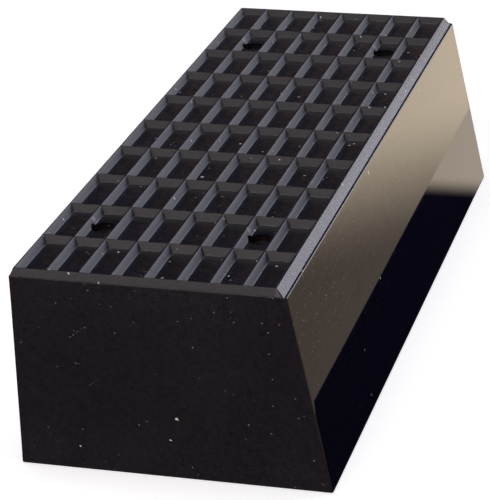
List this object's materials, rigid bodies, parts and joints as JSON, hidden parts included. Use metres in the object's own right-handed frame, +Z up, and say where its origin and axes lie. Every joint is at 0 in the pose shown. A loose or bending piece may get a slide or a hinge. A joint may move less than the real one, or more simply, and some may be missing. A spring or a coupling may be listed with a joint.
{
  "type": "rubber speed bump block",
  "caption": "Low moulded rubber road block with a waffle-pocketed top, one upright long side, one sloped long side and steel-lined bolt holes.",
  "frame": {"origin": "centre of the bounding box at ground level", "axes": "+Z up; +Y along the length; +X across the width, towards the sloped long side"},
  "size_m": [0.2204, 0.592, 0.146],
  "materials": {
    "rubber": "semi-gloss moulded, dusty and lightly scratched",
    "washer_steel": "dull zinc plate, slightly dirty",
    "sleeve_steel": "plain drawn tube, darkened"
  },
  "bodies": {
    "root": {"rubber_body": "rubber", "seat_washer_front_left": "washer_steel", "seat_washer_front_right": "washer_steel", "seat_washer_back_left": "washer_steel", "seat_washer_back_right": "washer_steel", "bolt_sleeve_front_left": "sleeve_steel", "bolt_sleeve_front_right": "sleeve_steel", "bolt_sleeve_back_left": "sleeve_steel", "bolt_sleeve_back_right": "sleeve_steel"}
  },
  "joints": []
}
